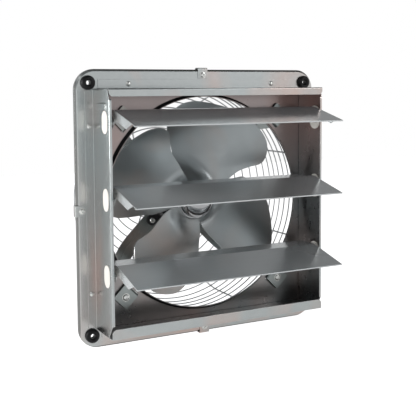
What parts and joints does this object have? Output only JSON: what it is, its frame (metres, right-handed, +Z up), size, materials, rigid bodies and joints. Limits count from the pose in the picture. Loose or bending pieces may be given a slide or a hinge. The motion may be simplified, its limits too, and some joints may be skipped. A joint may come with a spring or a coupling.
{
  "type": "shutter exhaust fan",
  "caption": "Wall exhaust fan on a square sheet panel, with swinging shutter louvres, a pressed fan wheel, a strap-held motor and a wire guard.",
  "frame": {"origin": "centre of the air opening on the panel's louvre-side face, which is the centre of the corner bolt pattern", "axes": "-Y out through the shutter (the way the air leaves), +Y back along the shaft to the motor, +Z up, +X to the right as seen from the shutter"},
  "size_m": [0.385, 0.3184, 0.385],
  "materials": {
    "galvanised_sheet": "satin galvanised sheet",
    "louvre_sheet": "satin rolled sheet",
    "strap_steel": "dull pickled steel",
    "wheel_sheet": "satin pressed sheet",
    "polished_metal": "polished",
    "zinc_fasteners": "bright zinc plate",
    "guard_wire": "bright plated wire",
    "black_paint": "semi-gloss",
    "black_rubber": "matt",
    "black_plastic": "matt",
    "cream_nylon": "matt",
    "ground_steel": "ground",
    "lamination_steel": "stacked laminations",
    "copper_winding": "enamelled wire"
  },
  "bodies": {
    "housing": {"mounting_panel": "galvanised_sheet", "shutter_side_left": "galvanised_sheet", "shutter_side_right": "galvanised_sheet", "shutter_top": "galvanised_sheet", "shutter_bottom": "galvanised_sheet", "frame_rivets": "zinc_fasteners", "pivot_bushings": "cream_nylon", "rubber_grommets": "black_rubber", "rim_clips": "zinc_fasteners", "clip_screws": "zinc_fasteners", "clip_nuts": "zinc_fasteners", "motor_arm_upper_right": "strap_steel", "motor_arm_upper_left": "strap_steel", "motor_arm_lower_left": "strap_steel", "motor_arm_lower_right": "strap_steel", "arm_pads": "black_rubber", "arm_foot_screws": "zinc_fasteners", "arm_motor_screws": "zinc_fasteners", "motor_front_bracket": "black_paint", "motor_housing": "black_paint", "motor_rear_cover": "black_paint", "motor_bolts": "zinc_fasteners", "front_bearing": "ground_steel", "rear_bearing": "ground_steel", "cable_gland": "black_plastic", "stator_core": "lamination_steel", "stator_windings": "copper_winding", "wire_guard": "guard_wire"},
    "rotor": {"impeller": "wheel_sheet", "hub_boss": "ground_steel", "hub_rivets": "zinc_fasteners", "set_screw": "zinc_fasteners", "spinner_cap": "polished_metal", "motor_shaft": "ground_steel", "rotor_core": "lamination_steel", "shaft_nut": "zinc_fasteners"},
    "upper_louvre": {"louvre_upper": "louvre_sheet", "louvre_pins_upper": "zinc_fasteners"},
    "middle_louvre": {"louvre_middle": "louvre_sheet", "louvre_pins_middle": "zinc_fasteners"},
    "lower_louvre": {"louvre_lower": "louvre_sheet", "louvre_pins_lower": "zinc_fasteners"}
  },
  "joints": [
    {"name": "wheel_spin", "type": "hinge", "parent": "housing", "child": "rotor", "pos_m": [0, 0.0434, 0], "axis": [0, -1, 0], "continuous": true},
    {"name": "upper_louvre_swing", "type": "hinge", "parent": "housing", "child": "upper_louvre", "pos_m": [0, -0.0438, 0.1202], "axis": [1, 0, 0], "range_deg": [-8, 74]},
    {"name": "middle_louvre_swing", "type": "hinge", "parent": "housing", "child": "middle_louvre", "pos_m": [0, -0.0438, 0.019], "axis": [1, 0, 0], "range_deg": [-8, 74]},
    {"name": "lower_louvre_swing", "type": "hinge", "parent": "housing", "child": "lower_louvre", "pos_m": [0, -0.0438, -0.0822], "axis": [1, 0, 0], "range_deg": [-8, 74]}
  ]
}
